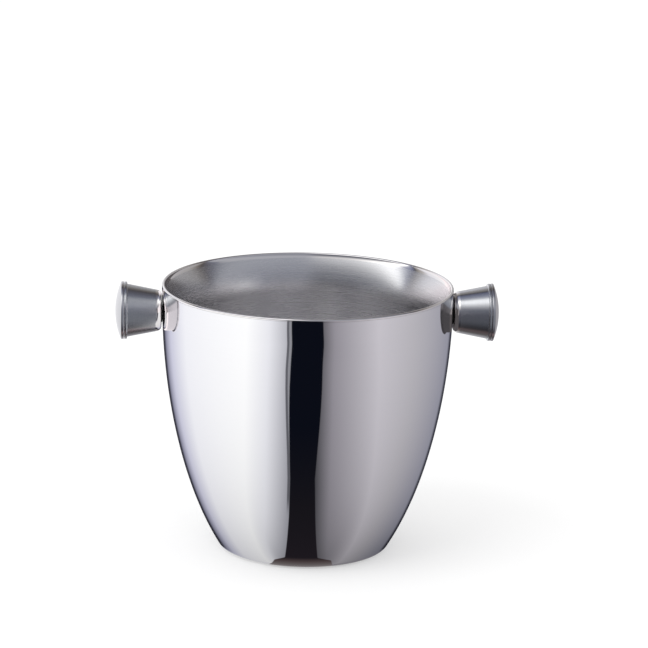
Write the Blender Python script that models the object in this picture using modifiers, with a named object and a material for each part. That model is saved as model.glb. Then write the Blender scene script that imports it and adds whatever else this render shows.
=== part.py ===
"""Double-walled stainless steel ice bucket with two side knobs.

Frame: metres, +Z up. The origin is on the table, under the bucket's centre, and the knobs point along +X and -X.
Run it with: blender --background --python part.py
"""

import math

import bmesh
import bpy

MM = 0.001

# Driving dimensions of the bucket.
HEIGHT = 139.0 * MM
RIM_RADIUS = 75.0 * MM
KNOB_AXIS_Z = 125.0 * MM
WALL_CENTER_Z = 135.1 * MM  # the wall is an arc of an upright ellipse, widest here
WALL_DEPTH = 165.0 * MM  # the ellipse's half height
SHEET = 0.7 * MM
SEAM = 0.1 * MM  # free gap left between pieces that are pressed or welded together

# Outer shell and base.
FOOT_Z = 0.3 * MM  # the pad stands this far proud of the steel
CORNER_RADIUS = 4.3 * MM
BASE_OPENING_RADIUS = 36.0 * MM
BASE_PLATE_RADIUS = 39.0 * MM
BASE_RIB_RADIUS = 22.0 * MM
BASE_RIB_WIDTH = 6.0 * MM
BASE_RIB_HEIGHT = 1.0 * MM
PAD_CLEARANCE = 0.4 * MM

# Inner liner.
LINER_RADIUS = 68.5 * MM  # at its widest, below the flare
LINER_FLOOR_Z = 8.0 * MM
LINER_CORNER_RADIUS = 10.0 * MM
LINER_DISH_RADIUS = 26.0 * MM  # raised, stiffening middle of the liner's floor
LINER_DISH_HEIGHT = 0.8 * MM
FLARE_START_Z = 118.5 * MM
LIP_WIDTH = 1.5 * MM
LIP_DROP = 1.2 * MM  # from the top of the lip to the welded seam

# Knobs. Lengths run outwards from the knob's small end.
KNOB_STANDOFF = 0.25 * MM  # from the shell to the knob's small end
KNOB_LENGTH = 23.7 * MM
KNOB_SHEET = 0.8 * MM
KNOB_SMALL_RADIUS = 10.2 * MM
KNOB_TAPER = 0.196  # growth in radius per unit of length
KNOB_CORNER_RADIUS = 2.8 * MM
RECESS_RADIUS = 6.2 * MM  # pressed into the small end, to hold the gasket
RECESS_DEPTH = 0.8 * MM
CONE_LENGTH = 17.6 * MM
BEAD_RADIUS = 14.75 * MM
BEAD_END = 19.2 * MM
CAP_RADIUS = 14.85 * MM
CAP_RIM_END = 20.8 * MM
SPIGOT_DEPTH = 1.6 * MM
EDGE_ROUND = 0.3 * MM

# M5 fasteners that hold each knob.
STUD_RADIUS = 2.5 * MM
STUD_HOLE_RADIUS = 2.75 * MM
STUD_HEAD_RADIUS = 5.0 * MM
STUD_HEAD_HEIGHT = 1.2 * MM
STUD_HEAD_GAP = 0.5 * MM  # more than the saddle plate's hollow face bends over the head
STUD_LENGTH = 12.5 * MM
STUD_CHAMFER = 0.5 * MM
SADDLE_RADIUS = 10.0 * MM
SADDLE_SHEET = 1.0 * MM
SADDLE_GAP = 0.3 * MM
SADDLE_MARGIN = 2.0 * MM  # of the ring that the saddle plate is punched from
GASKET_RADIUS = 6.0 * MM
WASHER_RADIUS = 5.0 * MM
WASHER_HEIGHT = 1.0 * MM
LOCK_WASHER_RADIUS = 4.6 * MM
LOCK_WASHER_HEIGHT = 1.2 * MM
LOCK_WASHER_SLIT = 0.8 * MM
NUT_ACROSS_FLATS = 8.0 * MM
NUT_HEIGHT = 4.0 * MM
NUT_CHAMFER = 0.6 * MM

# How far the long cutting tools reach from where they start.
CUTTER_REACH = 150.0 * MM

# Facets round a full turn.
BODY_STEPS = 56
KNOB_STEPS = 28
SMALL_STEPS = 20

# Facets along the curved outlines. A wall's rows are those above and those below the knobs' axis.
SHELL_ROWS = (1, 10)
LINER_ROWS = (3, 9)
WALL_CORNER_STEPS = 4
LIP_STEPS = 6
CUP_CORNER_STEPS = 5
CUP_INNER_CORNER_STEPS = 3
DOME_STEPS = 6
DOME_INNER_STEPS = 4
SADDLE_ROWS = 4
BARREL_ROWS = 8


# ---------------------------------------------------------------- scene and materials


def clear_scene():
    for obj in list(bpy.data.objects):
        bpy.data.objects.remove(obj)


def new_collection(name):
    collection = bpy.data.collections.new(name)
    bpy.context.scene.collection.children.link(collection)
    return collection


def new_material(name, color, roughness, metallic):
    material = bpy.data.materials.new(name)
    material.use_nodes = True
    material.diffuse_color = (*color, 1.0)
    shader = material.node_tree.nodes["Principled BSDF"]
    shader.inputs["Base Color"].default_value = (*color, 1.0)
    shader.inputs["Roughness"].default_value = roughness
    shader.inputs["Metallic"].default_value = metallic
    return material


clear_scene()
BUCKET = new_collection("ice_bucket")
CUTTERS = new_collection("cutters")

MIRROR_STEEL = new_material("mirror_steel", (0.80, 0.80, 0.82), 0.06, 1.0)
SATIN_STEEL = new_material("satin_steel", (0.72, 0.72, 0.73), 0.28, 1.0)
BRUSHED_STEEL = new_material("brushed_steel", (0.52, 0.52, 0.55), 0.30, 1.0)
PLATED_STEEL = new_material("plated_steel", (0.62, 0.62, 0.60), 0.35, 1.0)
BLACK_RUBBER = new_material("black_rubber", (0.02, 0.02, 0.02), 0.60, 0.0)


# ---------------------------------------------------------------- shape helpers


def add_object(name, mesh, material, parent=None):
    obj = bpy.data.objects.new(name, mesh)
    obj.data.materials.append(material)
    obj.parent = parent
    BUCKET.objects.link(obj)
    return obj


def turned(name, profile, material, steps, closed=True, parent=None):
    """A solid or surface turned round Z. The profile is (radius, z) points that run down the outer side."""
    mesh = bpy.data.meshes.new(name)
    count = len(profile)
    edges = [(i, i + 1) for i in range(count - 1)]
    if closed:
        edges.append((count - 1, 0))
    mesh.from_pydata([(radius, 0.0, z) for radius, z in profile], edges, [])
    obj = add_object(name, mesh, material, parent)
    screw = obj.modifiers.new("turn", "SCREW")
    screw.axis = "Z"
    screw.angle = math.tau
    screw.steps = steps
    screw.render_steps = steps
    screw.use_merge_vertices = True
    screw.merge_threshold = 0.00001
    screw.use_smooth_shade = True
    return obj


def thicken(obj, thickness):
    """Gives a turned surface its sheet thickness, on the side away from its normals."""
    solidify = obj.modifiers.new("sheet", "SOLIDIFY")
    solidify.thickness = thickness
    solidify.offset = -1.0
    solidify.use_even_offset = True


def ring(inner_radius, outer_radius, bottom, top):
    """Closed profile of a flat ring."""
    return [(outer_radius, top), (outer_radius, bottom), (inner_radius, bottom), (inner_radius, top)]


def as_cutter(obj):
    BUCKET.objects.unlink(obj)
    CUTTERS.objects.link(obj)
    obj.hide_render = True
    obj.display_type = "WIRE"
    return obj


def cut(obj, cutter, operation="DIFFERENCE"):
    boolean = obj.modifiers.new(cutter.name, "BOOLEAN")
    boolean.object = cutter
    boolean.operation = operation
    boolean.solver = "EXACT"


def arc(center, radius, start, end, steps):
    """Points on a circle of the profile plane, from the start angle to the end angle, both included."""
    points = []
    for i in range(steps + 1):
        angle = start + (end - start) * i / steps
        points.append((center[0] + radius * math.cos(angle), center[1] + radius * math.sin(angle)))
    return points


# ---------------------------------------------------------------- the walls' curve


def wall_radius(z, widest):
    """Radius at height z of a wall that follows the ellipse."""
    return widest * math.sqrt(1.0 - ((z - WALL_CENTER_Z) / WALL_DEPTH) ** 2)


def wall_lean(z, widest):
    """Angle of the wall from the vertical at height z, positive where it closes in downwards."""
    step = 0.1 * MM
    rise = wall_radius(z + step, widest) - wall_radius(z - step, widest)
    return math.atan2(rise, 2 * step)


def wall_and_corner(widest, top_z, floor_z, corner_radius, rows):
    """Points down a wall from top_z past the knobs, then round the corner to where the flat floor starts."""
    rows_above, rows_below = rows
    touch_z = floor_z
    for _ in range(8):
        lean = wall_lean(touch_z, widest)
        touch_z = floor_z + corner_radius * (1.0 - math.sin(lean))
    center = (wall_radius(touch_z, widest) - corner_radius * math.cos(lean), floor_z + corner_radius)
    heights = [top_z + (KNOB_AXIS_Z - top_z) * i / rows_above for i in range(rows_above)]
    heights += [KNOB_AXIS_Z + (touch_z - KNOB_AXIS_Z) * i / rows_below for i in range(rows_below)]
    points = [(wall_radius(z, widest), z) for z in heights]
    return points + arc(center, corner_radius, -lean, -math.pi / 2, WALL_CORNER_STEPS)


# ---------------------------------------------------------------- bucket body


def make_outer_shell(stud_holes):
    top_z = HEIGHT - LIP_DROP - SEAM
    profile = wall_and_corner(RIM_RADIUS, top_z, FOOT_Z, CORNER_RADIUS, SHELL_ROWS)
    profile.append((BASE_OPENING_RADIUS, FOOT_Z))
    shell = turned("outer_shell", profile, MIRROR_STEEL, BODY_STEPS, closed=False)
    thicken(shell, SHEET)
    cut(shell, stud_holes)
    return shell


def flare(z):
    """How far the liner spreads towards its lip above FLARE_START_Z."""
    lip_inner_radius = wall_radius(HEIGHT, RIM_RADIUS) - LIP_WIDTH
    reach = lip_inner_radius - wall_radius(HEIGHT, LINER_RADIUS)
    share = max(0.0, (z - FLARE_START_Z) / (HEIGHT - LIP_WIDTH / 2 - FLARE_START_Z))
    return reach * share * share


def make_inner_liner():
    """One drawn sheet: floor, wall, then a lip that rolls over and down to the shell's top edge."""
    lip_center_z = HEIGHT - LIP_WIDTH / 2
    wall = wall_and_corner(LINER_RADIUS, lip_center_z, LINER_FLOOR_Z, LINER_CORNER_RADIUS, LINER_ROWS)
    wall = [(radius + flare(z), z) for radius, z in wall]
    inside = list(reversed(wall))
    floor = [
        (0.0, LINER_FLOOR_Z + LINER_DISH_HEIGHT),
        (LINER_DISH_RADIUS, LINER_FLOOR_Z + LINER_DISH_HEIGHT),
        (LINER_DISH_RADIUS + 2 * LINER_DISH_HEIGHT, LINER_FLOOR_Z),
    ]
    outer_radius = wall_radius(HEIGHT, RIM_RADIUS)
    lip = arc((outer_radius - LIP_WIDTH / 2, lip_center_z), LIP_WIDTH / 2, math.pi, 0.0, LIP_STEPS)[1:]
    lip.append((outer_radius, HEIGHT - LIP_DROP))
    liner = turned("inner_liner", floor + inside + lip, SATIN_STEEL, BODY_STEPS, closed=False)
    thicken(liner, SHEET)
    return liner


def make_base_plate():
    """Pressed disc that closes the shell from inside, with one stiffening rib."""
    bottom = FOOT_Z + SHEET + SEAM
    top = bottom + SHEET
    rib_inner = BASE_RIB_RADIUS - BASE_RIB_WIDTH / 2
    rib_outer = BASE_RIB_RADIUS + BASE_RIB_WIDTH / 2
    slope = BASE_RIB_HEIGHT
    profile = [
        (0.0, top),
        (rib_inner, top),
        (rib_inner + slope, top + BASE_RIB_HEIGHT),
        (rib_outer - slope, top + BASE_RIB_HEIGHT),
        (rib_outer, top),
        (BASE_PLATE_RADIUS, top),
    ]
    plate = turned("base_plate", profile, SATIN_STEEL, BODY_STEPS, closed=False)
    thicken(plate, SHEET)
    return plate


def make_base_pad():
    top = FOOT_Z + SHEET
    radius = BASE_OPENING_RADIUS - PAD_CLEARANCE
    profile = [(0.0, top), (radius, top), (radius, 0.0), (0.0, 0.0)]
    return turned("base_pad", profile, BLACK_RUBBER, BODY_STEPS, closed=False)


# ---------------------------------------------------------------- knobs


def cone_radius(length):
    return KNOB_SMALL_RADIUS + KNOB_TAPER * length


def make_knob_cup(side, parent):
    """Tapered cup: a rounded small end with a recess and a screw hole, and a rolled bead round the mouth."""
    slant = math.atan(KNOB_TAPER)
    corner = KNOB_CORNER_RADIUS
    # The corner's circle touches the flat end and the cone.
    center_radius = cone_radius(corner) - corner / math.cos(slant)
    outside = [
        (STUD_HOLE_RADIUS, RECESS_DEPTH),
        (RECESS_RADIUS, RECESS_DEPTH),
        (RECESS_RADIUS, 0.0),
        *arc((center_radius, corner), corner, -math.pi / 2, -slant, CUP_CORNER_STEPS),
        (cone_radius(CONE_LENGTH), CONE_LENGTH),
        (BEAD_RADIUS - EDGE_ROUND, CONE_LENGTH + EDGE_ROUND),
        (BEAD_RADIUS, CONE_LENGTH + 2 * EDGE_ROUND),
        (BEAD_RADIUS, BEAD_END - EDGE_ROUND),
        (BEAD_RADIUS - EDGE_ROUND, BEAD_END),
    ]
    wall = KNOB_SHEET / math.cos(slant)
    inner_corner = corner - KNOB_SHEET
    inside = [
        (cone_radius(BEAD_END) - wall, BEAD_END),
        *arc((center_radius, corner), inner_corner, -slant, -math.pi / 2, CUP_INNER_CORNER_STEPS),
        (RECESS_RADIUS + KNOB_SHEET, KNOB_SHEET),
        (RECESS_RADIUS + KNOB_SHEET, RECESS_DEPTH + KNOB_SHEET),
        (STUD_HOLE_RADIUS, RECESS_DEPTH + KNOB_SHEET),
    ]
    profile = list(reversed(outside + inside))
    cup = turned(f"{side}_knob_cup", profile, BRUSHED_STEEL, KNOB_STEPS, parent=parent)
    cup.location.z = KNOB_STANDOFF
    return cup


def dome(rim_radius, rim_z, apex_z, steps):
    """Points of a shallow dome's arc, from its rim in to its apex."""
    rise = apex_z - rim_z
    ball = (rim_radius**2 + rise**2) / (2 * rise)
    reach = math.asin(rim_radius / ball)
    return arc((0.0, apex_z - ball), ball, math.pi / 2 - reach, math.pi / 2, steps)


def make_knob_cap(side, parent):
    """Domed end cap: a rim that meets the cup's bead and a short spigot that is pressed into the cup."""
    rim_start = BEAD_END + SEAM
    cup_mouth = cone_radius(BEAD_END - SPIGOT_DEPTH) - KNOB_SHEET / math.cos(math.atan(KNOB_TAPER))
    spigot_radius = cup_mouth - SEAM
    spigot_inner = spigot_radius - KNOB_SHEET
    under_rim = CAP_RIM_END - KNOB_SHEET
    outside = [
        *reversed(dome(CAP_RADIUS - EDGE_ROUND, CAP_RIM_END, KNOB_LENGTH, DOME_STEPS)),
        (CAP_RADIUS, CAP_RIM_END - EDGE_ROUND),
        (CAP_RADIUS, rim_start + EDGE_ROUND),
        (CAP_RADIUS - EDGE_ROUND, rim_start),
        (spigot_radius, rim_start),
        (spigot_radius, rim_start - SPIGOT_DEPTH),
        (spigot_inner, rim_start - SPIGOT_DEPTH),
    ]
    inside = dome(spigot_inner, under_rim, KNOB_LENGTH - KNOB_SHEET, DOME_INNER_STEPS)
    cap = turned(f"{side}_knob_cap", outside + inside, MIRROR_STEEL, KNOB_STEPS, closed=False, parent=parent)
    cap.location.z = KNOB_STANDOFF
    return cap


def make_gasket(side, parent, barrel):
    """Black washer in the knob's recess, hollowed on one face to sit on the round wall."""
    blank = ring(STUD_HOLE_RADIUS, GASKET_RADIUS, -SHEET, KNOB_STANDOFF + RECESS_DEPTH - SEAM)
    gasket = turned(f"{side}_gasket", blank, BLACK_RUBBER, SMALL_STEPS, parent=parent)
    cut(gasket, barrel)
    return gasket


def make_saddle_plate(side, blank, stud_holes):
    """Disc cut from a ring that follows the shell's inner face. It spreads the knob's load."""
    outer_gap = SHEET + SADDLE_GAP
    half_height = SADDLE_RADIUS + SADDLE_MARGIN
    outer_side = []
    for i in range(SADDLE_ROWS + 1):
        z = KNOB_AXIS_Z + half_height * (1.0 - 2.0 * i / SADDLE_ROWS)
        outer_side.append((wall_radius(z, RIM_RADIUS) - outer_gap, z))
    inner_side = [(radius - SADDLE_SHEET, z) for radius, z in reversed(outer_side)]
    plate = turned(f"{side}_saddle_plate", outer_side + inner_side, PLATED_STEEL, BODY_STEPS)
    cut(plate, blank, "INTERSECT")
    cut(plate, stud_holes)
    return plate


def make_stud(side, parent):
    """Flat-headed M5 stud with a plain shank in place of its thread."""
    seat = -(SHEET + SADDLE_GAP + SADDLE_SHEET + STUD_HEAD_GAP)
    tip = seat + STUD_LENGTH
    profile = [
        (0.0, tip),
        (STUD_RADIUS - STUD_CHAMFER, tip),
        (STUD_RADIUS, tip - STUD_CHAMFER),
        (STUD_RADIUS, seat),
        (STUD_HEAD_RADIUS, seat),
        (STUD_HEAD_RADIUS, seat - STUD_HEAD_HEIGHT),
        (0.0, seat - STUD_HEAD_HEIGHT),
    ]
    return turned(f"{side}_stud", profile, PLATED_STEEL, SMALL_STEPS, closed=False, parent=parent)


def make_slit(side, parent):
    bpy.ops.mesh.primitive_cube_add(size=1.0)
    slit = bpy.context.active_object
    for collection in list(slit.users_collection):
        collection.objects.unlink(slit)
    BUCKET.objects.link(slit)
    slit.name = f"{side}_slit"
    slit.parent = parent
    slit.scale = (2 * LOCK_WASHER_RADIUS, LOCK_WASHER_SLIT, 4 * LOCK_WASHER_HEIGHT)
    slit.location = (LOCK_WASHER_RADIUS, 0.0, washer_stack()["lock_washer"])
    return as_cutter(slit)


def washer_stack():
    """Where each fastener inside the knob starts, measured outwards from the shell."""
    washer = KNOB_STANDOFF + RECESS_DEPTH + KNOB_SHEET + SEAM
    lock_washer = washer + WASHER_HEIGHT + SEAM
    nut = lock_washer + LOCK_WASHER_HEIGHT + SEAM
    return {"washer": washer, "lock_washer": lock_washer, "nut": nut}


def make_washers(side, parent):
    start = washer_stack()
    flat = ring(STUD_HOLE_RADIUS, WASHER_RADIUS, start["washer"], start["washer"] + WASHER_HEIGHT)
    turned(f"{side}_flat_washer", flat, PLATED_STEEL, SMALL_STEPS, parent=parent)
    top = start["lock_washer"] + LOCK_WASHER_HEIGHT
    split = ring(STUD_HOLE_RADIUS, LOCK_WASHER_RADIUS, start["lock_washer"], top)
    lock = turned(f"{side}_lock_washer", split, PLATED_STEEL, SMALL_STEPS, parent=parent)
    cut(lock, make_slit(side, parent))


def make_nut(side, parent):
    """M5 hexagon nut: a hexagonal block whose corners a turned blank rounds off, with a plain hole."""
    corner_radius = NUT_ACROSS_FLATS / 2 / math.cos(math.pi / 6)
    start = washer_stack()["nut"]
    mesh = bpy.data.meshes.new(f"{side}_nut")
    shape = bmesh.new()
    bmesh.ops.create_cone(
        shape, cap_ends=True, segments=6, radius1=corner_radius, radius2=corner_radius, depth=NUT_HEIGHT
    )
    shape.to_mesh(mesh)
    shape.free()
    nut = add_object(f"{side}_nut", mesh, PLATED_STEEL, parent)
    nut.location.z = start + NUT_HEIGHT / 2
    top = start + NUT_HEIGHT
    blank_profile = [
        (0.0, top + NUT_CHAMFER),
        (corner_radius - NUT_CHAMFER, top),
        (corner_radius + SEAM, top - NUT_CHAMFER),
        (corner_radius + SEAM, start - NUT_HEIGHT),
        (0.0, start - NUT_HEIGHT),
    ]
    blank = turned(f"{side}_nut_blank", blank_profile, PLATED_STEEL, SMALL_STEPS, closed=False, parent=parent)
    cut(nut, as_cutter(blank), "INTERSECT")
    bore_profile = [
        (0.0, top + NUT_HEIGHT),
        (STUD_HOLE_RADIUS, top + NUT_HEIGHT),
        (STUD_HOLE_RADIUS, start - NUT_HEIGHT),
        (0.0, start - NUT_HEIGHT),
    ]
    bore = turned(f"{side}_nut_bore", bore_profile, PLATED_STEEL, SMALL_STEPS, closed=False, parent=parent)
    cut(nut, as_cutter(bore))
    return nut


def make_barrel():
    """Solid of the shell's outside shape near the knobs, a seam's width larger."""
    half_height = 2 * GASKET_RADIUS
    profile = [(0.0, KNOB_AXIS_Z + half_height)]
    for i in range(BARREL_ROWS + 1):
        z = KNOB_AXIS_Z + half_height * (1.0 - 2.0 * i / BARREL_ROWS)
        profile.append((wall_radius(z, RIM_RADIUS) + SEAM, z))
    profile.append((0.0, KNOB_AXIS_Z - half_height))
    return as_cutter(turned("barrel", profile, MIRROR_STEEL, BODY_STEPS, closed=False))


def make_stud_holes():
    """One long drill along X that makes the holes of both knobs."""
    profile = [
        (0.0, CUTTER_REACH),
        (STUD_HOLE_RADIUS, CUTTER_REACH),
        (STUD_HOLE_RADIUS, -CUTTER_REACH),
        (0.0, -CUTTER_REACH),
    ]
    drill = turned("stud_holes", profile, PLATED_STEEL, SMALL_STEPS, closed=False)
    drill.rotation_euler.y = math.pi / 2
    drill.location.z = KNOB_AXIS_Z
    return as_cutter(drill)


def make_saddle_blank(side, direction):
    """Punch along X that cuts a round saddle plate."""
    inner_reach = RIM_RADIUS / 2
    profile = [
        (0.0, CUTTER_REACH),
        (SADDLE_RADIUS, CUTTER_REACH),
        (SADDLE_RADIUS, inner_reach),
        (0.0, inner_reach),
    ]
    punch = turned(f"{side}_saddle_blank", profile, PLATED_STEEL, KNOB_STEPS, closed=False)
    punch.rotation_euler.y = direction * math.pi / 2
    punch.location.z = KNOB_AXIS_Z
    return as_cutter(punch)


def make_knob(side, direction, barrel, stud_holes):
    """Everything of one knob. Its parent's +Z points outwards, with its origin on the shell's outer face."""
    mount = bpy.data.objects.new(f"{side}_knob_mount", None)
    BUCKET.objects.link(mount)
    mount.location = (direction * wall_radius(KNOB_AXIS_Z, RIM_RADIUS), 0.0, KNOB_AXIS_Z)
    mount.rotation_euler.y = direction * math.pi / 2
    make_knob_cup(side, mount)
    make_knob_cap(side, mount)
    make_gasket(side, mount, barrel)
    make_saddle_plate(side, make_saddle_blank(side, direction), stud_holes)
    make_stud(side, mount)
    make_washers(side, mount)
    make_nut(side, mount)


def main():
    stud_holes = make_stud_holes()
    barrel = make_barrel()
    make_outer_shell(stud_holes)
    make_inner_liner()
    make_base_plate()
    make_base_pad()
    make_knob("left", -1, barrel, stud_holes)
    make_knob("right", 1, barrel, stud_holes)


main()
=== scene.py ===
import math

import bmesh
import bpy
from mathutils import Matrix, Vector


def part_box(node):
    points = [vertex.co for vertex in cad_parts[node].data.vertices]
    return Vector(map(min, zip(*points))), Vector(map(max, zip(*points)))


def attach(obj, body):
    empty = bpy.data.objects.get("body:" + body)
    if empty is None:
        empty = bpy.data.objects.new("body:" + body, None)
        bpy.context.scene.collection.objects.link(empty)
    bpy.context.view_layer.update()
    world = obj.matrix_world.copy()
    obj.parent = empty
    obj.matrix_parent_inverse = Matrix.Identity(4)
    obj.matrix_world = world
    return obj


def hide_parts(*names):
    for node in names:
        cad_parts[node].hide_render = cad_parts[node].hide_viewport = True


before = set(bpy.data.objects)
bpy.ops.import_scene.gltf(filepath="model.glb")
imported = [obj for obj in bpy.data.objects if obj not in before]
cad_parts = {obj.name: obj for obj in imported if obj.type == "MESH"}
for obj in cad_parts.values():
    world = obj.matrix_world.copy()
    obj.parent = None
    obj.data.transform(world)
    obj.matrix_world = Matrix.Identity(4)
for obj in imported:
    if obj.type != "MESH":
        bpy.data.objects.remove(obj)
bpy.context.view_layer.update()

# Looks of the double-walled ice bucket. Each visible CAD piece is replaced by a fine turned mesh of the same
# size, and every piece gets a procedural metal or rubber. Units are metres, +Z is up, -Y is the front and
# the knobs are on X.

MM = 0.001

# ---------------------------------------------------------------- sizes from the frame

SHELL_LOW, SHELL_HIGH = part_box("outer_shell")
LINER_LOW, LINER_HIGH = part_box("inner_liner")
PAD_LOW, PAD_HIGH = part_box("base_pad")
CUP_LOW, CUP_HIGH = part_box("right_knob_cup")
CAP_LOW, CAP_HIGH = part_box("right_knob_cap")

HEIGHT = LINER_HIGH.z  # of the rim. The knobs stand a little higher.
RIM_RADIUS = SHELL_HIGH.y
FOOT_Z = SHELL_LOW.z
SHELL_TOP_Z = SHELL_HIGH.z
PAD_RADIUS = PAD_HIGH.y
KNOB_AXIS_Z = (CUP_LOW.z + CUP_HIGH.z) / 2
KNOB_START = CUP_LOW.x
KNOB_LENGTH = CAP_HIGH.x - KNOB_START
CAP_RADIUS = CAP_HIGH.y

# ---------------------------------------------------------------- sizes inside the pieces

SHEET = 0.7 * MM
LINER_FLOOR_Z = LINER_LOW.z + SHEET
WALL_CENTER_Z = 135.1 * MM  # the wall is an arc of an upright ellipse, widest here
WALL_DEPTH = 165.0 * MM  # the ellipse's half height
CORNER_RADIUS = 4.3 * MM
BASE_OPENING_RADIUS = 36.0 * MM
LINER_RADIUS = 68.5 * MM
LINER_CORNER_RADIUS = 10.0 * MM
LINER_DISC_RADIUS = 26.0 * MM
LINER_DISC_HEIGHT = 0.8 * MM
FLARE_START_Z = 118.5 * MM
LIP_WIDTH = 1.5 * MM
LIP_DROP = 1.2 * MM
KNOB_SHEET = 0.8 * MM
KNOB_SMALL_RADIUS = 10.2 * MM
KNOB_TAPER = 0.196
KNOB_CORNER_RADIUS = 2.8 * MM
RECESS_RADIUS = 6.2 * MM
RECESS_DEPTH = 0.8 * MM
CONE_LENGTH = 17.6 * MM
BEAD_RADIUS = 14.75 * MM
BEAD_ROUND = 0.55 * MM
BEAD_END = 19.2 * MM
CAP_RIM_END = 20.8 * MM
SPIGOT_DEPTH = 1.6 * MM
STUD_HOLE_RADIUS = 2.75 * MM
GASKET_RADIUS = 6.0 * MM
SEAM = 0.1 * MM
EDGE_ROUND = 0.3 * MM
PAD_EDGE_ROUND = 0.25 * MM

BODY_STEPS = 360
KNOB_STEPS = 144
ON_AXIS = 0.0001 * MM  # a point this close to the axis counts as on it


# ---------------------------------------------------------------- outlines of turned pieces


def arc(center, radius, start, end, steps):
    """Points on a circle of the outline's plane, from the start angle to the end angle, both included."""
    points = []
    for i in range(steps + 1):
        angle = start + (end - start) * i / steps
        points.append((center[0] + radius * math.cos(angle), center[1] + radius * math.sin(angle)))
    return points


def wall_radius(z, widest):
    """Radius at height z of a wall that follows the ellipse."""
    return widest * math.sqrt(1.0 - ((z - WALL_CENTER_Z) / WALL_DEPTH) ** 2)


def wall_lean(z, widest):
    """Angle of the wall from the vertical at height z, positive where it closes in downwards."""
    step = 0.1 * MM
    return math.atan2(wall_radius(z + step, widest) - wall_radius(z - step, widest), 2 * step)


def wall_and_corner(widest, top_z, floor_z, corner_radius, rows, corner_steps):
    """Points down a wall from top_z, then round the corner to where the flat floor starts."""
    touch_z = floor_z
    for _ in range(8):
        lean = wall_lean(touch_z, widest)
        touch_z = floor_z + corner_radius * (1.0 - math.sin(lean))
    center = (wall_radius(touch_z, widest) - corner_radius * math.cos(lean), floor_z + corner_radius)
    heights = [top_z + (touch_z - top_z) * i / rows for i in range(rows)]
    points = [(wall_radius(z, widest), z) for z in heights]
    return points + arc(center, corner_radius, -lean, -math.pi / 2, corner_steps)


def along(start, end, steps):
    """Evenly spaced points from start to end, without the end itself."""
    start, end = Vector(start), Vector(end)
    return [tuple(start.lerp(end, i / steps)) for i in range(steps)]


def sheet_outline(side, thickness):
    """Closed outline of a sheet: the given side, then its back.

    The back lies to the right of the way the side runs.
    """
    back = []
    for i, (radius, z) in enumerate(side):
        before = Vector(side[max(i - 1, 0)])
        after = Vector(side[min(i + 1, len(side) - 1)])
        way = (after - before).normalized()
        back.append((max(radius + way.y * thickness, 0.0), z - way.x * thickness))
    return side + list(reversed(back))


def ring_of(shape, radius, z, steps):
    """Corners round the axis for one point of an outline, or a single corner where it lies on the axis."""
    if radius < ON_AXIS:
        return [shape.verts.new((0.0, 0.0, z))]
    angles = [math.tau * i / steps for i in range(steps)]
    return [shape.verts.new((radius * math.cos(angle), radius * math.sin(angle), z)) for angle in angles]


def join_rings(shape, upper, lower, steps):
    """Faces between two rings, either of which may be a single corner."""
    if len(upper) == 1 and len(lower) == 1:
        return
    for i in range(steps):
        j = (i + 1) % steps
        if len(upper) == 1:
            shape.faces.new((upper[0], lower[i], lower[j]))
        elif len(lower) == 1:
            shape.faces.new((upper[i], lower[0], upper[j]))
        else:
            shape.faces.new((upper[i], lower[i], lower[j], upper[j]))


def turned(name, outline, steps, closed=True):
    """Mesh of an outline turned round +Z. The outline runs down the outer side, so the faces point out."""
    shape = bmesh.new()
    rings = [ring_of(shape, radius, z, steps) for radius, z in outline]
    pairs = list(zip(rings, rings[1:]))
    if closed:
        pairs.append((rings[-1], rings[0]))
    for upper, lower in pairs:
        join_rings(shape, upper, lower, steps)
    mesh = bpy.data.meshes.new(name)
    shape.to_mesh(mesh)
    shape.free()
    mesh.shade_smooth()
    piece = bpy.data.objects.new(name, mesh)
    bpy.context.scene.collection.objects.link(piece)
    return piece


def sharpen(piece, degrees):
    piece.data.set_sharp_from_angle(angle=math.radians(degrees))


def point_along_x(piece, direction):
    """Turns a piece made round +Z so that its +Z points along X, and moves it to the knob's axis."""
    turn = Matrix.Rotation(direction * math.pi / 2, 4, "Y")
    place = Matrix.Translation((0.0, 0.0, KNOB_AXIS_Z))
    piece.data.transform(place @ turn)


def finish_piece(piece, material, nodes):
    """Gives the piece its material, and lets it stand for its CAD nodes in the one rigid body."""
    piece.data.materials.append(material)
    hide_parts(*nodes)
    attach(piece, "root")


# ---------------------------------------------------------------- materials

POLISHED_ROUGHNESS = 0.06
# Colour of a polished zone, brighter than the steel round it: a painted sheen for the brighter reflection of
# the polish.
POLISHED_SHEEN_COLOR = (0.86, 0.84, 0.83, 1.0)
SMUDGE = 0.008


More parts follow.
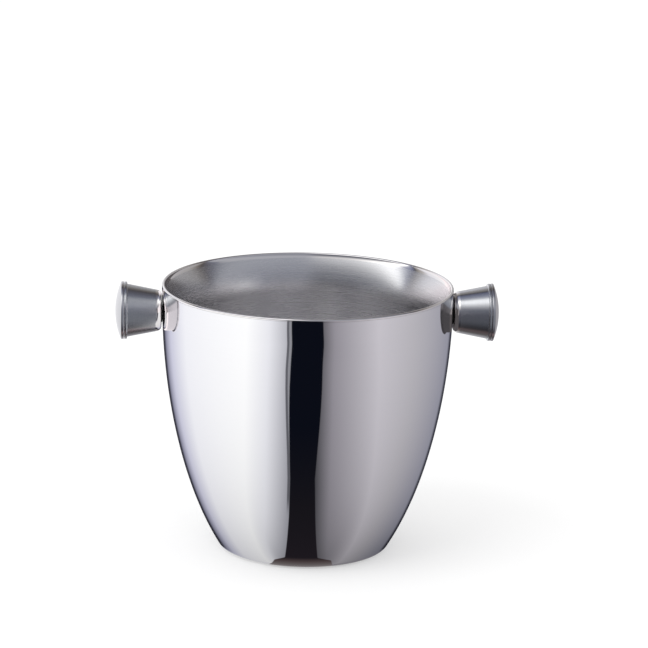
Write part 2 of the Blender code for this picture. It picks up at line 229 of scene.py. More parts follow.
class Nodes:
    """Short way to build a node tree."""

    def __init__(self, tree):
        self.tree = tree
        tree.nodes.clear()

    def add(self, kind, inputs=None, **settings):
        node = self.tree.nodes.new("ShaderNode" + kind)
        for name, value in settings.items():
            setattr(node, name, value)
        for name, value in (inputs or {}).items():
            self.plug(value, node.inputs[name])
        return node

    def plug(self, value, socket):
        """Links another node's output to the socket, or gives the socket a plain value."""
        if hasattr(value, "is_output"):
            self.tree.links.new(value, socket)
        else:
            socket.default_value = value

    def math(self, operation, *values):
        node = self.add("Math", operation=operation)
        for i, value in enumerate(values):
            self.plug(value, node.inputs[i])
        return node.outputs[0]

    def vector(self, operation, *values):
        node = self.add("VectorMath", operation=operation)
        for i, value in enumerate(values):
            self.plug(value, node.inputs[i])
        return node.outputs["Value" if operation in ("LENGTH", "DOT_PRODUCT") else "Vector"]

    def map_range(self, value, low, high, to_low=0.0, to_high=1.0, kind="SMOOTHSTEP"):
        inputs = {"Value": value, "From Min": low, "From Max": high, "To Min": to_low, "To Max": to_high}
        return self.add("MapRange", inputs, interpolation_type=kind).outputs["Result"]

    def mix(self, factor, first, second):
        node = self.add("Mix", data_type="RGBA")
        for index, value in ((0, factor), (6, first), (7, second)):
            self.plug(value, node.inputs[index])
        return node.outputs[2]

    def ramp(self, value, stops):
        """Colour ramp over (position, grey or colour) stops."""
        node = self.add("ValToRGB", {"Fac": value})
        node.color_ramp.interpolation = "LINEAR"
        elements = node.color_ramp.elements
        while len(elements) > 1:
            elements.remove(elements[-1])
        for i, (position, color) in enumerate(stops):
            element = elements[0] if i == 0 else elements.new(position)
            element.position = position
            rgb = (color, color, color) if isinstance(color, float) else color
            element.color = (*rgb, 1.0)
        return node.outputs["Color"]


def new_material(name):
    material = bpy.data.materials.new(name)
    material.use_nodes = True
    return material, Nodes(material.node_tree)


def streaks(nodes, axis, fine, long):
    """Noise that makes close lines round the given axis.

    fine and long are its scales per metre across and along a line.
    """
    center = (0.0, 0.0, KNOB_AXIS_Z) if axis == "X" else (0.0, 0.0, 0.0)
    place = nodes.add("TexCoord").outputs["Object"]
    place = nodes.vector("SUBTRACT", place, center)
    parts = nodes.add("SeparateXYZ", {"Vector": place})
    across = (0.0, 1.0, 1.0) if axis == "X" else (1.0, 1.0, 0.0)
    radius = nodes.vector("LENGTH", nodes.vector("MULTIPLY", place, across))
    drift = nodes.vector("DOT_PRODUCT", place, (long, 0.7 * long, 0.4 * long))
    lines = nodes.add(
        "CombineXYZ",
        {
            "X": nodes.math("MULTIPLY", radius, fine),
            "Y": nodes.math("MULTIPLY", parts.outputs[axis], fine),
            "Z": drift,
        },
    )
    noise = {"Vector": lines.outputs["Vector"], "Scale": 1.0, "Detail": 2.0, "Roughness": 0.6}
    return nodes.add("TexNoise", noise).outputs["Fac"]


def polish_mask(nodes, axis, start, end):
    """1 where the distance along the axis is past end, 0 before start. Either may be the larger one."""
    place = nodes.add("TexCoord").outputs["Object"]
    along_axis = nodes.math("ABSOLUTE", nodes.add("SeparateXYZ", {"Vector": place}).outputs[axis])
    if start < end:
        return nodes.map_range(along_axis, start, end)
    return nodes.math("SUBTRACT", 1.0, nodes.map_range(along_axis, end, start))


def metal(
    name,
    color,
    roughness,
    axis,
    lines,
    haze=0.02,
    tint=0.02,
    bump_um=0.2,
    anisotropy=0.0,
    polished=None,
):
    """Turned steel: fine lines round the axis, uneven gloss, and faint smudges from handling.

    lines is the lines' (fine, long) scale, haze how much they change the roughness, and tint how much they
    change the colour. bump_um is their depth in micrometres. polished is an optional (start, end) of a
    polished zone along the axis: smoother, and brighter in colour, which is a painted sheen.
    """
    material, nodes = new_material(name)
    fine = streaks(nodes, axis, *lines)
    place = nodes.add("TexCoord").outputs["Object"]
    cloud = nodes.add("TexNoise", {"Vector": place, "Scale": 35.0, "Detail": 4.0}).outputs["Fac"]
    rough = nodes.math("MULTIPLY_ADD", nodes.math("SUBTRACT", fine, 0.5), haze, roughness)
    rough = nodes.math("ADD", rough, nodes.map_range(cloud, 0.5, 0.8, 0.0, SMUDGE))
    spread = anisotropy
    darker = tuple(channel * (1.0 - tint) for channel in color)
    shade = nodes.mix(nodes.map_range(fine, 0.3, 0.7), (*darker, 1.0), (*color, 1.0))
    if polished:
        mask = polish_mask(nodes, axis, *polished)
        rough = nodes.map_range(mask, 0.0, 1.0, rough, POLISHED_ROUGHNESS, "LINEAR")
        spread = nodes.map_range(mask, 0.0, 1.0, anisotropy, 0.0, "LINEAR")
        # Besides being smoother, the polished zone gets a brighter colour, which is a painted sheen.
        shade = nodes.mix(mask, shade, POLISHED_SHEEN_COLOR)
    bump = nodes.add("Bump", {"Strength": 1.0, "Distance": bump_um * 1e-6, "Height": fine}).outputs["Normal"]
    shader = nodes.add(
        "BsdfPrincipled",
        {
            "Base Color": shade,
            "Metallic": 1.0,
            "Roughness": rough,
            "Anisotropic": spread,
            "Anisotropic Rotation": 0.25,
            "Tangent": nodes.add("Tangent", direction_type="RADIAL", axis=axis).outputs["Tangent"],
            "Normal": bump,
        },
    )
    nodes.add("OutputMaterial", {"Surface": shader.outputs["BSDF"]})
    return material


def rubber(name, color):
    """Matt black rubber with a fine moulded grain and some grey dust."""
    material, nodes = new_material(name)
    place = nodes.add("TexCoord").outputs["Object"]
    grain = nodes.add("TexNoise", {"Vector": place, "Scale": 1800.0, "Detail": 3.0}).outputs["Fac"]
    dust = nodes.add("TexNoise", {"Vector": place, "Scale": 60.0, "Detail": 6.0}).outputs["Fac"]
    paler = tuple(channel * 2.2 + 0.01 for channel in color)
    tint = nodes.mix(nodes.map_range(dust, 0.5, 0.8), (*color, 1.0), (*paler, 1.0))
    bump = nodes.add("Bump", {"Strength": 0.6, "Distance": 0.00006, "Height": grain}).outputs["Normal"]
    rough = nodes.map_range(grain, 0.2, 0.8, 0.55, 0.75, "LINEAR")
    shader = nodes.add("BsdfPrincipled", {"Base Color": tint, "Roughness": rough, "Normal": bump})
    nodes.add("OutputMaterial", {"Surface": shader.outputs["BSDF"]})
    return material


def make_materials():
    lip_start = HEIGHT - LIP_DROP - 1.5 * MM
    fillet = KNOB_START + KNOB_CORNER_RADIUS
    return {
        "mirror": metal(
            "mirror_steel",
            (0.80, 0.80, 0.81),
            0.028,
            "Z",
            (1800.0, 9.0),
            haze=0.012,
            tint=0.006,
        ),
        "satin": metal(
            "satin_steel",
            (0.76, 0.76, 0.77),
            0.26,
            "Z",
            (2200.0, 30.0),
            haze=0.12,
            tint=0.05,
            bump_um=1.5,
            anisotropy=0.5,
            polished=(lip_start, lip_start + 0.5 * MM),
        ),
        "brushed": metal(
            "brushed_steel",
            (0.60, 0.61, 0.63),
            0.22,
            "X",
            (2600.0, 120.0),
            haze=0.05,
            tint=0.06,
            bump_um=1.0,
            anisotropy=0.95,
            polished=(fillet + 0.7 * MM, fillet - 0.1 * MM),
        ),
        "cap": metal(
            "cap_steel",
            (0.66, 0.66, 0.68),
            0.06,
            "X",
            (2400.0, 60.0),
            bump_um=0.3,
        ),
        "plated": metal(
            "plated_steel",
            (0.62, 0.62, 0.60),
            0.34,
            "X",
            (900.0, 300.0),
            haze=0.15,
            bump_um=3.0,
        ),
        "rubber": rubber("black_rubber", (0.012, 0.012, 0.013)),
    }


# ---------------------------------------------------------------- bucket

CAMERA_AZIMUTH = math.radians(-3.6)  # from straight in front, positive towards +X
CAMERA_ANGLE = CAMERA_AZIMUTH - math.pi / 2  # the camera's place round +Z, from +X
WAVE_HEIGHT = 0.06 * MM
WAVE_Z = 0.92 * HEIGHT  # the strongest unevenness is just below the rim


def wave(angle, z):
    """Slight unevenness of the polished wall, in metres.

    It makes straight reflections waver as on real sheet.
    """
    height = z / HEIGHT
    turn = angle - CAMERA_ANGLE
    fade = min(1.0, (HEIGHT - z) / (12.0 * MM)) * min(1.0, z / (12.0 * MM))
    near_rim = 2.0 * math.sin(5 * turn + 0.1) * math.exp(-(((z - WAVE_Z) / (9.0 * MM)) ** 2))
    slow = 0.4 * math.sin(3 * turn + 4.1 * height) + 0.3 * math.sin(5 * turn - 9.3 * height + 2.0)
    quick = 0.10 * math.sin(11 * turn + 17.0 * height) + 0.08 * math.sin(8 * turn - 23.0 * height + 1.0)
    return WAVE_HEIGHT * fade * (near_rim + slow + quick)


def add_waves(piece):
    for vertex in piece.data.vertices:
        radius = math.hypot(vertex.co.x, vertex.co.y)
        if radius < BASE_OPENING_RADIUS + SHEET:
            continue
        push = wave(math.atan2(vertex.co.y, vertex.co.x), vertex.co.z)
        vertex.co.x *= 1.0 + push / radius
        vertex.co.y *= 1.0 + push / radius


def drill(piece):
    """Cuts the two stud holes through a piece, along X."""
    reach = RIM_RADIUS * 2
    outline = [(0.0, reach), (STUD_HOLE_RADIUS, reach), (STUD_HOLE_RADIUS, -reach), (0.0, -reach)]
    bit = turned("bit", outline, 48, closed=False)
    point_along_x(bit, 1)
    boolean = piece.modifiers.new("holes", "BOOLEAN")
    boolean.object = bit
    boolean.operation = "DIFFERENCE"
    boolean.solver = "EXACT"
    graph = bpy.context.evaluated_depsgraph_get()
    mesh = bpy.data.meshes.new_from_object(piece.evaluated_get(graph))
    piece.modifiers.clear()
    piece.data = mesh
    bpy.data.objects.remove(bit)


def make_shell(materials):
    side = wall_and_corner(RIM_RADIUS, SHELL_TOP_Z, FOOT_Z, CORNER_RADIUS, 150, 16)
    side += along(side[-1], (BASE_OPENING_RADIUS, FOOT_Z), 4)[1:]
    side.append((BASE_OPENING_RADIUS, FOOT_Z))
    shell = turned("shell_polished", sheet_outline(side, SHEET), BODY_STEPS)
    add_waves(shell)
    drill(shell)
    shell.data.shade_smooth()
    sharpen(shell, 50)
    finish_piece(shell, materials["mirror"], ["outer_shell"])


def flare(z):
    """How far the liner spreads towards its lip above FLARE_START_Z."""
    reach = wall_radius(HEIGHT, RIM_RADIUS) - LIP_WIDTH - wall_radius(HEIGHT, LINER_RADIUS)
    share = max(0.0, (z - FLARE_START_Z) / (HEIGHT - LIP_WIDTH / 2 - FLARE_START_Z))
    return reach * share * share


def make_liner(materials):
    lip_center_z = HEIGHT - LIP_WIDTH / 2
    wall = wall_and_corner(LINER_RADIUS, lip_center_z, LINER_FLOOR_Z, LINER_CORNER_RADIUS, 110, 14)
    wall = [(radius + flare(z), z) for radius, z in wall]
    step = 2 * LINER_DISC_HEIGHT
    floor = [(0.0, LINER_FLOOR_Z + LINER_DISC_HEIGHT)]
    for i in range(9):
        # The edge of the raised disc is an S curve down to the floor.
        share = i / 8
        drop = LINER_DISC_HEIGHT * (1.0 + math.cos(math.pi * share)) / 2
        floor.append((LINER_DISC_RADIUS + step * share, LINER_FLOOR_Z + drop))
    outer_radius = wall_radius(HEIGHT, RIM_RADIUS)
    lip = arc((outer_radius - LIP_WIDTH / 2, lip_center_z), LIP_WIDTH / 2, math.pi, 0.0, 20)[1:]
    lip.append((outer_radius, HEIGHT - LIP_DROP))
    liner = turned("liner_satin", sheet_outline(floor + list(reversed(wall)) + lip, SHEET), BODY_STEPS)
    sharpen(liner, 50)
    finish_piece(liner, materials["satin"], ["inner_liner"])


def make_pad(materials):
    top, low = PAD_HIGH.z, PAD_LOW.z
    edge = PAD_EDGE_ROUND
    outline = [(0.0, top), (PAD_RADIUS, top), (PAD_RADIUS, low + edge)]
    outline += arc((PAD_RADIUS - edge, low + edge), edge, 0.0, -math.pi / 2, 4)[1:]
    outline += [(PAD_RADIUS * 0.6, low), (0.0, low)]
    pad = turned("pad_rubber", outline, BODY_STEPS // 2, closed=False)
    sharpen(pad, 50)
    finish_piece(pad, materials["rubber"], ["base_pad"])


# ---------------------------------------------------------------- knobs


def cone_radius(length):
    """Radius of a knob's cone at a length from its small end."""
    return KNOB_SMALL_RADIUS + KNOB_TAPER * length


def from_knob_start(outline):
    """Moves an outline from the knob's small end to its distance from the bucket's axis."""
    return [(radius, KNOB_START + length) for radius, length in outline]


def make_cup(side, direction, materials):
    slant = math.atan(KNOB_TAPER)
    corner = KNOB_CORNER_RADIUS
    center_radius = cone_radius(corner) - corner / math.cos(slant)
    touch = corner - corner * math.sin(slant)
    outside = [(STUD_HOLE_RADIUS, RECESS_DEPTH), (RECESS_RADIUS, RECESS_DEPTH), (RECESS_RADIUS, 0.0)]
    outside += arc((center_radius, corner), corner, -math.pi / 2, -slant, 14)
    outside += along((cone_radius(touch), touch), (cone_radius(CONE_LENGTH), CONE_LENGTH), 24)[1:]
    outside.append((cone_radius(CONE_LENGTH), CONE_LENGTH))
    outside += arc((BEAD_RADIUS - BEAD_ROUND, CONE_LENGTH + BEAD_ROUND), BEAD_ROUND, -math.pi / 2, 0.0, 7)
    outside += arc((BEAD_RADIUS - EDGE_ROUND, BEAD_END - EDGE_ROUND), EDGE_ROUND, 0.0, math.pi / 2, 5)
    wall = KNOB_SHEET / math.cos(slant)
    inside = [(cone_radius(BEAD_END) - wall, BEAD_END)]
    inside += arc((center_radius, corner), corner - KNOB_SHEET, -slant, -math.pi / 2, 8)
    inside += [
        (RECESS_RADIUS + KNOB_SHEET, KNOB_SHEET),
        (RECESS_RADIUS + KNOB_SHEET, RECESS_DEPTH + KNOB_SHEET),
        (STUD_HOLE_RADIUS, RECESS_DEPTH + KNOB_SHEET),
    ]
    outline = from_knob_start(list(reversed(outside + inside)))
    cup = turned(f"{side}_cup_brushed", outline, KNOB_STEPS)
    point_along_x(cup, direction)
    sharpen(cup, 40)
    finish_piece(cup, materials["brushed"], [f"{side}_knob_cup"])


def dome(rim_radius, rim_z, apex_z, steps):
    """Points of a shallow dome's arc, from its rim in to its apex."""
    rise = apex_z - rim_z
    ball = (rim_radius**2 + rise**2) / (2 * rise)
    reach = math.asin(rim_radius / ball)
    return arc((0.0, apex_z - ball), ball, math.pi / 2 - reach, math.pi / 2, steps)


def make_cap(side, direction, materials):
    rim_start = BEAD_END + SEAM
    slant = math.atan(KNOB_TAPER)
    spigot_radius = cone_radius(BEAD_END - SPIGOT_DEPTH) - KNOB_SHEET / math.cos(slant) - SEAM
    spigot_inner = spigot_radius - KNOB_SHEET
    under_rim = CAP_RIM_END - KNOB_SHEET
    outside = list(reversed(dome(CAP_RADIUS - EDGE_ROUND, CAP_RIM_END, KNOB_LENGTH, 24)))[:-1]
    outside[0] = (0.0, KNOB_LENGTH)
    outside += arc((CAP_RADIUS - EDGE_ROUND, CAP_RIM_END - EDGE_ROUND), EDGE_ROUND, math.pi * 0.4, 0.0, 5)
    outside += arc((CAP_RADIUS - EDGE_ROUND, rim_start + EDGE_ROUND), EDGE_ROUND, 0.0, -math.pi / 2, 5)
    outside += [
        (spigot_radius, rim_start),
        (spigot_radius, rim_start - SPIGOT_DEPTH),
        (spigot_inner, rim_start - SPIGOT_DEPTH),
    ]
    inside = dome(spigot_inner, under_rim, KNOB_LENGTH - KNOB_SHEET, 12)
    inside[-1] = (0.0, KNOB_LENGTH - KNOB_SHEET)
    cap = turned(f"{side}_cap_polished", from_knob_start(outside + inside), KNOB_STEPS, closed=False)
    point_along_x(cap, direction)
    sharpen(cap, 40)
    finish_piece(cap, materials["cap"], [f"{side}_knob_cap"])


def make_gasket(side, direction, materials):
    """Rubber ring in the cup's recess, whose inner face follows the round wall."""
    face = wall_radius(KNOB_AXIS_Z, RIM_RADIUS)
    top = KNOB_START + RECESS_DEPTH - SEAM
    rows = 8
    outline = [(GASKET_RADIUS, top), (GASKET_RADIUS, face)]
    outline += along((GASKET_RADIUS, face), (STUD_HOLE_RADIUS, face), rows)[1:]
    outline += [(STUD_HOLE_RADIUS, face), (STUD_HOLE_RADIUS, top)]
    gasket = turned(f"{side}_gasket_rubber", outline, KNOB_STEPS // 2)
    point_along_x(gasket, direction)
    for vertex in gasket.data.vertices:
        if abs(vertex.co.x) < face + SEAM / 2:
            radius = wall_radius(vertex.co.z, RIM_RADIUS) + SEAM
            vertex.co.x = direction * math.sqrt(radius**2 - vertex.co.y**2)
    sharpen(gasket, 40)
    finish_piece(gasket, materials["rubber"], [f"{side}_gasket"])


def finish_hidden_nodes(materials):
    """The pieces inside the walls and knobs keep their CAD shapes."""
    kinds = {"base_plate": "satin"}
    for side in ("left", "right"):
        for part in ("saddle_plate", "stud", "flat_washer", "lock_washer", "nut"):
            kinds[f"{side}_{part}"] = "plated"
    for name, kind in kinds.items():
        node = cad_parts[name]
        node.data.materials.clear()
        node.data.materials.append(materials[kind])


# ---------------------------------------------------------------- studio

CAMERA_ELEVATION = math.radians(14.0)
CAMERA_DISTANCE = 25 * RIM_RADIUS
CAMERA_ROLL = math.radians(1.2)
CAMERA_LENS = 202.1
AIM_SIDE = 8.65 * MM
AIM_HEIGHT = 118.4 * MM

FLOOR_COLOR = 0.60
FLOOR_GLOW = 0.42
FLOOR_Z = -0.05 * MM  # just clear of the pad, which would flicker through it otherwise
FLOOR_HALF_SIZE = 12.0
TABLE_HALF_SIZE = 2.0
TABLE_Z = -0.5 * MM
TABLE_SHIFT = -2.0 * MM  # of the mirrored table's centre, along the camera's right
TABLE_TURN = 0.5  # of the cards, in degrees towards the camera's right

# What the polished wall mirrors, by the angle round the bucket in degrees: 0 is straight towards the camera,
# positive is to the camera's right, and 180 is behind the bucket. A white card stands on the left, a grey
# one on the right, and both turn cooler and darker towards the back.
STUDIO_DARK = (0.03, 0.03, 0.045)
CARD_STOPS = (
    (-180, STUDIO_DARK),
    (-160, (0.06, 0.06, 0.08)),
    (-155, (0.30, 0.30, 0.40)),
    (-140, (0.75, 0.75, 0.90)),
    (-110, (1.15, 1.15, 1.20)),
    (-45, (1.30, 1.30, 1.30)),
    (-28, (1.05, 1.05, 1.10)),
    (-10, (0.45, 0.45, 0.50)),
    (8, (0.07, 0.07, 0.08)),
    (20, (0.38, 0.36, 0.40)),
    (55, (0.73, 0.70, 0.75)),
    (90, (0.60, 0.58, 0.62)),
    (154, (0.35, 0.35, 0.42)),
    (162, (0.06, 0.06, 0.08)),
    (180, STUDIO_DARK),
)
# How strongly each card's light fades towards the bucket, which shades the table round its foot. The fade
# goes with NEAREST / distance.
LEFT_FADE = 0.65
RIGHT_FADE = 0.85
# Edges of the dark gap between the cards: distance from the bucket's axis in metres, then degrees to the
# left and to the right. The gap opens into the bucket's own shadow at the foot.
GAP_EDGES = (
    (0.042, 24.0, 22.0),
    (0.047, 20.0, 21.0),
    (0.049, 12.5, 11.0),
    (0.080, 10.5, 9.0),
    (0.120, 10.0, 8.0),
    (0.300, 11.5, 12.0),
    (0.600, 11.0, 12.0),
)
GAP_SOFTNESS = 0.7
CARD_MEETING = (-5.0, 5.0)  # degrees over which the left fade gives way to the right one
# A ray near the camera's way sees the cards by place, and one that turns away more, by its own way. Both in
# degrees. Close to the foot, in metres from the axis, only the place counts.
WAY_BLEND = (60.0, 150.0)
FOOT_BLEND = (0.041, 0.045)
# The white card's edge beside the gap: a light line that widens with distance, then a dark one, in degrees.
LIGHT_LINE = 1.6
LIGHT_LINE_START = 0.15
LIGHT_LINE_FULL = 0.36
LIGHT_LINE_COLOR = (0.34, 0.34, 0.37, 1.0)
DARK_LINE = 1.8
DARK_LINE_COLOR = (0.15, 0.15, 0.17, 1.0)
LINES_START = 0.078
LINES_FULL = 0.10
# Colour of the gap by distance, brownish close to the bucket and navy further out.
GAP_STOPS = (
    (0.042, (0.26, 0.24, 0.24)),
    (0.047, (0.07, 0.05, 0.05)),
    (0.049, (0.015, 0.012, 0.016)),
    (0.090, (0.010, 0.009, 0.012)),
    (0.200, (0.004, 0.005, 0.010)),
)
NEAREST = 0.030  # the closest distance that the ramps by distance tell apart, in metres

# What steel mirrors of the room, on the camera's left and on its right. The angle in degrees rises from the
# camera's side at 0 over the top at 90 to the back at 180, and falls through the floor at -90. The polished
# wall mirrors the cards in place of the floor, the knobs do not. A softbox hangs high in front, on the left.
LEFT_ROOM_STOPS = (
    (-180, (1.05, 1.05, 1.07)),
    (-140, (0.80, 0.80, 0.82)),
    (-110, (0.20, 0.18, 0.18)),
    (-89, (0.085, 0.06, 0.06)),
    (-75, (0.028, 0.026, 0.030)),
    (-62, (0.028, 0.028, 0.034)),
    (-50, (0.046, 0.048, 0.060)),
    (-35, (0.078, 0.080, 0.098)),
    (0, (0.10, 0.10, 0.125)),
    (20, (0.17, 0.18, 0.215)),
    (30, (0.38, 0.38, 0.41)),
    (40, (0.74, 0.74, 0.76)),
    (50, (1.25, 1.25, 1.26)),
    (60, (1.85, 1.85, 1.85)),
    (72, (1.90, 1.90, 1.90)),
    (80, (1.00, 1.01, 1.04)),
    (90, (0.48, 0.50, 0.60)),
    (110, (0.20, 0.22, 0.33)),
    (118, (0.10, 0.10, 0.12)),
    (126, (0.30, 0.29, 0.28)),
    (140, (0.52, 0.50, 0.50)),
    (152, (0.85, 0.85, 0.92)),
    (180, (1.05, 1.05, 1.07)),
)
RIGHT_ROOM_STOPS = (
    (-180, (0.47, 0.46, 0.48)),
    (-140, (0.36, 0.35, 0.37)),
    (-107, (0.095, 0.085, 0.085)),
    (-89, (0.27, 0.20, 0.20)),
    (-75, (0.075, 0.070, 0.075)),
    (-62, (0.12, 0.12, 0.14)),
    (-50, (0.19, 0.195, 0.22)),
    (-35, (0.245, 0.255, 0.285)),
    (0, (0.25, 0.26, 0.30)),
    (20, (0.30, 0.31, 0.36)),
    (38, (0.44, 0.45, 0.50)),
    (60, (0.43, 0.44, 0.48)),
    (72, (0.35, 0.36, 0.40)),
    (82, (0.20, 0.21, 0.26)),
    (100, (0.14, 0.14, 0.17)),
    (120, (0.10, 0.09, 0.09)),
    (130, (0.20, 0.18, 0.17)),
    (150, (0.40, 0.39, 0.39)),
    (180, (0.47, 0.46, 0.48)),
)
# What the wall and a knob mirror in each other, in the neck between them.
NECK_LEFT = (1.35, 1.25, 1.28, 1.0)
NECK_RIGHT = (0.13, 0.12, 0.125, 1.0)
ROOM_BLEND = (-0.20, 0.08)  # from the left room to the right one, by a unit ray's share to the right
NECK_LEAVING = (0.3, 0.5)  # upward share of a unit ray that leaves the neck
KNOB_ZONE = 1.01 * RIM_RADIUS  # a ray that starts further out along X starts on a knob
TO_DEGREES = 180.0 / math.pi


def camera_parts(nodes, vector):
    """A vector's share along the camera's right, and its share along the floor towards the camera."""
    parts = nodes.add("SeparateXYZ", {"Vector": vector}).outputs
    right = nodes.math("MULTIPLY", parts["X"], math.cos(CAMERA_AZIMUTH))
    right = nodes.math("MULTIPLY_ADD", parts["Y"], math.sin(CAMERA_AZIMUTH), right)
    front = nodes.math("MULTIPLY", parts["X"], math.sin(CAMERA_AZIMUTH))
    front = nodes.math("MULTIPLY_ADD", parts["Y"], -math.cos(CAMERA_AZIMUTH), front)
    return right, front


def past(nodes, value):
    """1 where the value in degrees is above 0, with a soft edge."""
    return nodes.map_range(value, -GAP_SOFTNESS / 2, GAP_SOFTNESS / 2)


def flat_plate(name, half_size, z):
    mesh = bpy.data.meshes.new(name)
    shape = bmesh.new()
    bmesh.ops.create_grid(shape, x_segments=1, y_segments=1, size=half_size)
    shape.to_mesh(mesh)
    shape.free()
    plate = bpy.data.objects.new(name, mesh)
    plate.location.z = z
    bpy.context.scene.collection.objects.link(plate)
    return plate


def make_floor():
    """Plain pale floor, clear when seen from below. Steel mirrors the studio table below instead."""
    floor = flat_plate("floor", FLOOR_HALF_SIZE, FLOOR_Z)
    material, nodes = new_material("floor_paper")
    paper = nodes.add("BsdfDiffuse", {"Color": (FLOOR_COLOR, FLOOR_COLOR, FLOOR_COLOR, 1.0)})
    # The back light lifts the shadow, as on a light table.
    lit = nodes.add("Emission", {"Color": (1.0, 1.0, 1.0, 1.0), "Strength": FLOOR_GLOW})
    both = nodes.add("AddShader", {0: paper.outputs["BSDF"], 1: lit.outputs["Emission"]})
    behind = nodes.add("NewGeometry").outputs["Backfacing"]
    clear = nodes.add("BsdfTransparent").outputs["BSDF"]
    shown = nodes.add("MixShader", {0: behind, 1: both.outputs["Shader"], 2: clear})
    nodes.add("OutputMaterial", {"Surface": shown.outputs["Shader"]})
    floor.data.materials.append(material)
    floor.visible_glossy = False


def degrees_of(nodes, right, front):
    """Angle from straight towards the camera, positive towards its right."""
    return nodes.math("MULTIPLY", nodes.math("ARCTAN2", right, front), TO_DEGREES)


def by_angle(nodes, degrees, stops):
    """Ramp by an angle from -180 to 180 degrees."""
    around = nodes.math("MULTIPLY_ADD", degrees, 1.0 / 360.0, 0.5)
    return nodes.ramp(around, [(0.5 + angle / 360.0, color) for angle, color in stops])


def by_distance(nodes, distance, stops):
    """Ramp by distance, finest close to the bucket."""
    nearness = nodes.math("DIVIDE", NEAREST, distance)
    return nodes.ramp(nearness, sorted((NEAREST / place, level) for place, level in stops))


def with_neck(nodes, light, side, share):
    """The light, or for that share of the rays mirrored twice, what the neck beside a knob mirrors.

    side is 0 on the left and 1 on the right.
    """
    again = nodes.math("GREATER_THAN", nodes.add("LightPath").outputs["Glossy Depth"], 1.5)
    return nodes.mix(nodes.math("MULTIPLY", again, share), light, nodes.mix(side, NECK_LEFT, NECK_RIGHT))


def room_light(nodes, way):
    """Colour of the room that steel mirrors, by the mirrored ray's way."""
    right, front = camera_parts(nodes, way)
    up = nodes.add("SeparateXYZ", {"Vector": way}).outputs["Z"]
    over = nodes.math("MULTIPLY", nodes.math("ARCTAN2", up, front), TO_DEGREES)
    left_room = by_angle(nodes, over, LEFT_ROOM_STOPS)
    right_room = by_angle(nodes, over, RIGHT_ROOM_STOPS)
    side = nodes.map_range(right, *ROOM_BLEND)
    low = nodes.math("SUBTRACT", 1.0, nodes.map_range(up, *NECK_LEAVING))
    return with_neck(nodes, nodes.mix(side, left_room, right_room), side, low)


def card_angle(nodes, right, front, distance, way):
    """Angle of the cards at a place on the table, for a ray that comes the given way."""
    place = degrees_of(nodes, nodes.math("SUBTRACT", right, TABLE_SHIFT), front)
    place = nodes.math("SUBTRACT", place, TABLE_TURN)
    turn = degrees_of(nodes, *camera_parts(nodes, way))
    far = nodes.map_range(nodes.math("ABSOLUTE", turn), *WAY_BLEND)
    far = nodes.math("MULTIPLY", far, nodes.map_range(distance, *FOOT_BLEND))
    return nodes.math("MULTIPLY_ADD", nodes.math("SUBTRACT", turn, place), far, place)


def gap_edge(nodes, distance, side):
    """Degrees from the middle to the gap's edge, on the left for side 0 and on the right for side 1."""
    share = by_distance(nodes, distance, [(place, edges[side] / 90.0) for place, *edges in GAP_EDGES])
    return nodes.math("MULTIPLY", share, 90.0)


def edge_lines(nodes, cards, past_left, distance):
    """The cards with the light and the dark line along the white card's edge."""
    light_width = nodes.map_range(distance, LIGHT_LINE_START, LIGHT_LINE_FULL, 0.0, LIGHT_LINE, "LINEAR")
    past_light = nodes.math("SUBTRACT", past_left, light_width)
    past_dark = nodes.math("SUBTRACT", past_light, DARK_LINE)
    strong = nodes.map_range(distance, LINES_START, LINES_FULL)
    light_line = nodes.math("SUBTRACT", past(nodes, past_left), past(nodes, past_light))
    dark_line = nodes.math("SUBTRACT", past(nodes, past_light), past(nodes, past_dark))
    cards = nodes.mix(nodes.math("MULTIPLY", strong, dark_line), cards, DARK_LINE_COLOR)
    return nodes.mix(nodes.math("MULTIPLY", strong, light_line), cards, LIGHT_LINE_COLOR)


def card_light(nodes, right, front, way):
    """Colour of the cards and the gap at a place on the table, for a ray that comes the given way."""
    squares = nodes.math("MULTIPLY_ADD", right, right, nodes.math("MULTIPLY", front, front))
    distance = nodes.math("SQRT", squares)
    degrees = card_angle(nodes, right, front, distance, way)
    place = degrees_of(nodes, right, front)
    place_to_left = nodes.math("MULTIPLY", place, -1.0)
    past_left = nodes.math("SUBTRACT", place_to_left, gap_edge(nodes, distance, 0))
    past_right = nodes.math("SUBTRACT", place, gap_edge(nodes, distance, 1))
    cards = edge_lines(nodes, by_angle(nodes, degrees, CARD_STOPS), past_left, distance)
    fade = nodes.map_range(degrees, *CARD_MEETING, LEFT_FADE, RIGHT_FADE)
    loss = nodes.math("MULTIPLY", fade, nodes.math("DIVIDE", NEAREST, distance))
    light = nodes.vector("MULTIPLY", cards, nodes.math("SUBTRACT", 1.0, loss))
    outside = past(nodes, nodes.math("MAXIMUM", past_left, past_right))
    return nodes.mix(outside, by_distance(nodes, distance, GAP_STOPS), light)


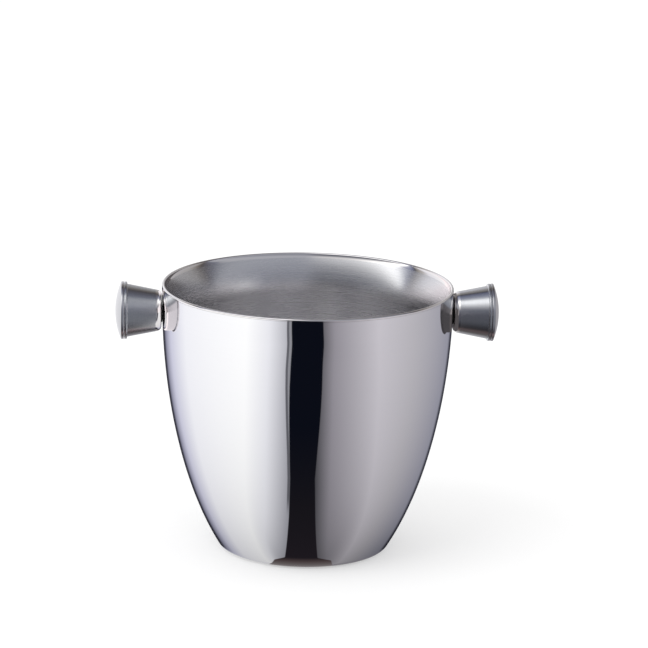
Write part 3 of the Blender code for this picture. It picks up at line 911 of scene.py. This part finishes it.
def make_studio_table():
    """The table as steel sees it. Only mirrored rays meet it. Those from a knob see the room instead."""
    table = flat_plate("studio_table", TABLE_HALF_SIZE, TABLE_Z)
    material, nodes = new_material("studio_table")
    ray = nodes.add("NewGeometry").outputs
    way = nodes.vector("MULTIPLY", ray["Incoming"], (-1.0, -1.0, -1.0))
    length = nodes.add("LightPath").outputs["Ray Length"]
    start = nodes.vector("MULTIPLY_ADD", ray["Incoming"], length, ray["Position"])
    start_x = nodes.add("SeparateXYZ", {"Vector": start}).outputs["X"]
    on_knob = nodes.math("GREATER_THAN", nodes.math("ABSOLUTE", start_x), KNOB_ZONE)
    right, front = camera_parts(nodes, ray["Position"])
    knob_side = nodes.math("GREATER_THAN", start_x, 0.0)
    color = nodes.mix(on_knob, card_light(nodes, right, front, way), room_light(nodes, way))
    # On the left, a ray that the wall mirrored last already meets the white card.
    color = with_neck(nodes, color, knob_side, nodes.math("MAXIMUM", on_knob, knob_side))
    glow = nodes.add("Emission", {"Color": color, "Strength": 1.0})
    nodes.add("OutputMaterial", {"Surface": glow.outputs["Emission"]})
    table.data.materials.append(material)
    table.visible_camera = False
    table.visible_diffuse = False
    table.visible_shadow = False
    table.visible_transmission = False


def make_world():
    """White room for the floor and the view, with the softbox and the dark studio for mirrored rays only."""
    world = bpy.data.worlds.new("studio")
    bpy.context.scene.world = world
    world.use_nodes = True
    world.cycles.sampling_method = "NONE"
    nodes = Nodes(world.node_tree)
    room = room_light(nodes, nodes.add("TexCoord").outputs["Generated"])
    mirrored = nodes.add("Background", {"Color": room, "Strength": 1.0})
    plain = nodes.add("Background", {"Color": (1.0, 1.0, 1.0, 1.0), "Strength": 1.0})
    kind = nodes.add("LightPath").outputs["Is Glossy Ray"]
    mixed = nodes.add("MixShader", {0: kind, 1: plain.outputs[0], 2: mirrored.outputs[0]})
    nodes.add("OutputWorld", {"Surface": mixed.outputs[0]})


def make_key_light():
    """Large soft light from the upper left, for the floor and the rubber. Steel does not mirror it."""
    light = bpy.data.lights.new("key", "AREA")
    light.shape = "SQUARE"
    light.size = 1.2
    light.energy = 9.0
    key = bpy.data.objects.new("key", light)
    key.location = (-0.9, -0.7, 1.5)
    aim = Vector((0.0, 0.0, HEIGHT / 2)) - key.location
    key.rotation_euler = aim.to_track_quat("-Z", "Y").to_euler()
    key.visible_glossy = False
    bpy.context.scene.collection.objects.link(key)


def make_camera():
    level = math.cos(CAMERA_ELEVATION)
    back = Vector(
        (math.sin(CAMERA_AZIMUTH) * level, -math.cos(CAMERA_AZIMUTH) * level, math.sin(CAMERA_ELEVATION))
    )
    right = Vector((math.cos(CAMERA_AZIMUTH), math.sin(CAMERA_AZIMUTH), 0.0))
    target = right * AIM_SIDE + Vector((0.0, 0.0, AIM_HEIGHT))
    lens = bpy.data.cameras.new("camera")
    lens.lens = CAMERA_LENS
    lens.sensor_width = 36.0
    camera = bpy.data.objects.new("camera", lens)
    turn = back.to_track_quat("Z", "Y").to_matrix().to_4x4() @ Matrix.Rotation(CAMERA_ROLL, 4, "Z")
    camera.matrix_world = Matrix.Translation(target + back * CAMERA_DISTANCE) @ turn
    bpy.context.scene.collection.objects.link(camera)
    bpy.context.scene.camera = camera


def main():
    materials = make_materials()
    make_shell(materials)
    make_liner(materials)
    make_pad(materials)
    for side, direction in (("left", -1), ("right", 1)):
        make_cup(side, direction, materials)
        make_cap(side, direction, materials)
        make_gasket(side, direction, materials)
    finish_hidden_nodes(materials)
    make_floor()
    make_studio_table()
    make_world()
    make_key_light()
    make_camera()
    bpy.context.scene.view_settings.view_transform = "Standard"


main()
